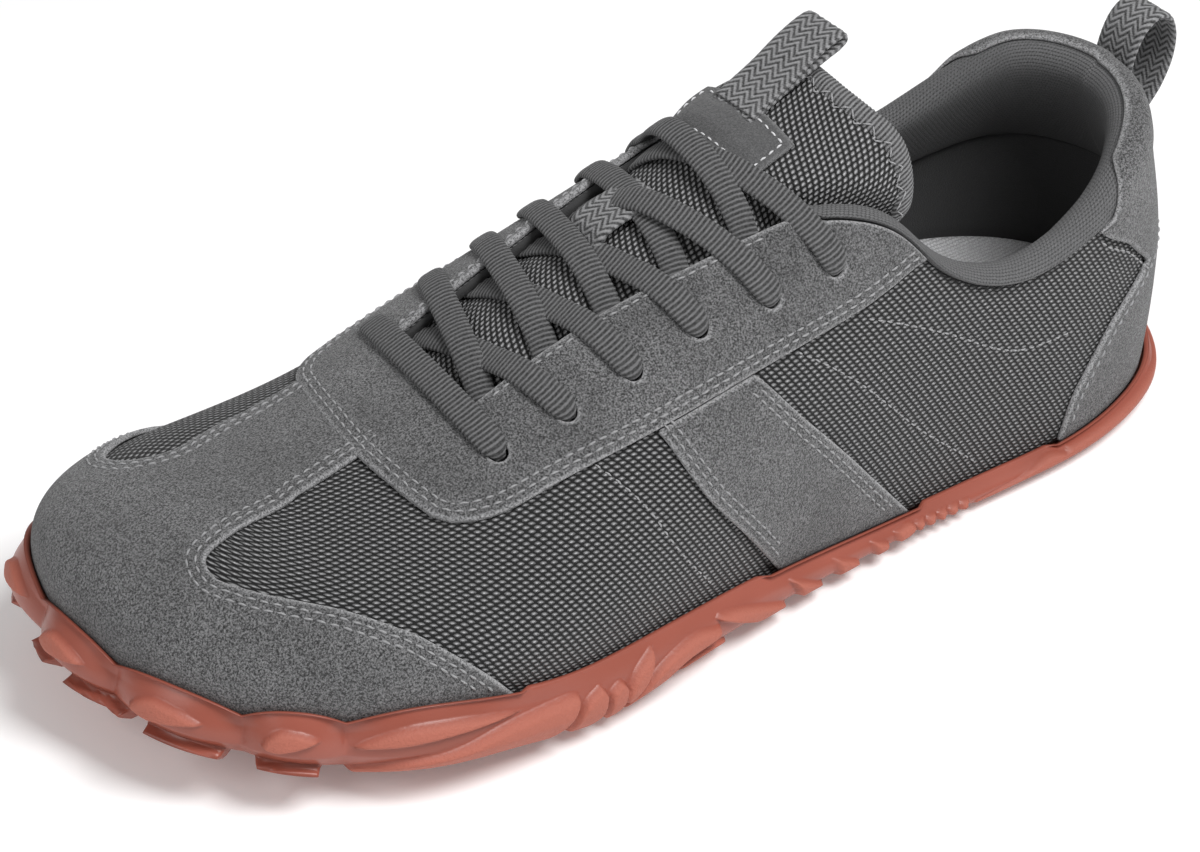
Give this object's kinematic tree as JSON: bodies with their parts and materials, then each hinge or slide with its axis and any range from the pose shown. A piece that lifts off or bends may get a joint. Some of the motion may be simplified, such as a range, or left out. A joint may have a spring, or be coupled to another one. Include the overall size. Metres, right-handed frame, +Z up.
{
  "type": "barefoot shoe",
  "caption": "Left low barefoot shoe: grey mesh and suede upper, flat laces, padded tongue and collar, pull loops, and a flexible red-brown sole with lobed toe.",
  "frame": {"origin": "middle of the shoe's box, on the floor under it", "axes": "+X from heel to toe, +Y to the outer side of the left foot, +Z up"},
  "size_m": [0.2966, 0.111, 0.1126],
  "materials": {
    "outsole_rubber": "satin gum rubber with matte raised ribs",
    "insole_foam": "light grey woven top cloth",
    "upper_mesh": "open grey mesh, two shades",
    "suede": "grey suede with a short nap",
    "collar_knit": "dark soft knit over foam",
    "webbing_weave": "herringbone webbing",
    "lace_weave": "flat woven lace with crosswise ribs",
    "label_suede": "grey suede, bare"
  },
  "bodies": {
    "root": {"collar_lining": "collar_knit", "eyestay": "suede", "heel_counter": "suede", "heel_pull_loop": "webbing_weave", "insole": "insole_foam", "lace_1": "lace_weave", "lace_2": "lace_weave", "lace_3": "lace_weave", "lace_4": "lace_weave", "lace_5": "lace_weave", "lace_6": "lace_weave", "lace_keeper": "webbing_weave", "outsole": "outsole_rubber", "saddle_lateral": "suede", "saddle_medial": "suede", "toe_cap": "suede", "tongue": "upper_mesh", "tongue_label": "label_suede", "tongue_pull_tab": "webbing_weave", "upper": "upper_mesh"}
  },
  "joints": []
}
